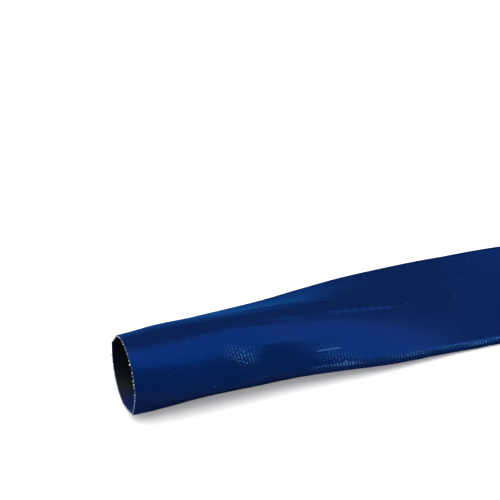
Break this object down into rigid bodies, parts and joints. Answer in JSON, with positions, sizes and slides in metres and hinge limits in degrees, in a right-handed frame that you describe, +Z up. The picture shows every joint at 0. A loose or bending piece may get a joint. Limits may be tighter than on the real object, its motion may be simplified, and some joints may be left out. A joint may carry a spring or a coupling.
{
  "type": "lay-flat pump discharge hose",
  "caption": "Cut length of blue lay-flat pump discharge hose: its open end stands round and tapers to a flat double wall with folded edges.",
  "frame": {"origin": "on the floor, under the middle of the hose's box", "axes": "+X along the flat stretch, from the open end to the flat end; +Z up, square to the floor that the hose lies on"},
  "size_m": [1.0024, 0.102, 0.0541],
  "materials": {
    "blue_pvc": "glossy dark blue soft PVC over a woven polyester jacket, whose fine crosswise ribs show through"
  },
  "bodies": {
    "root": {"hose": "blue_pvc"}
  },
  "joints": []
}
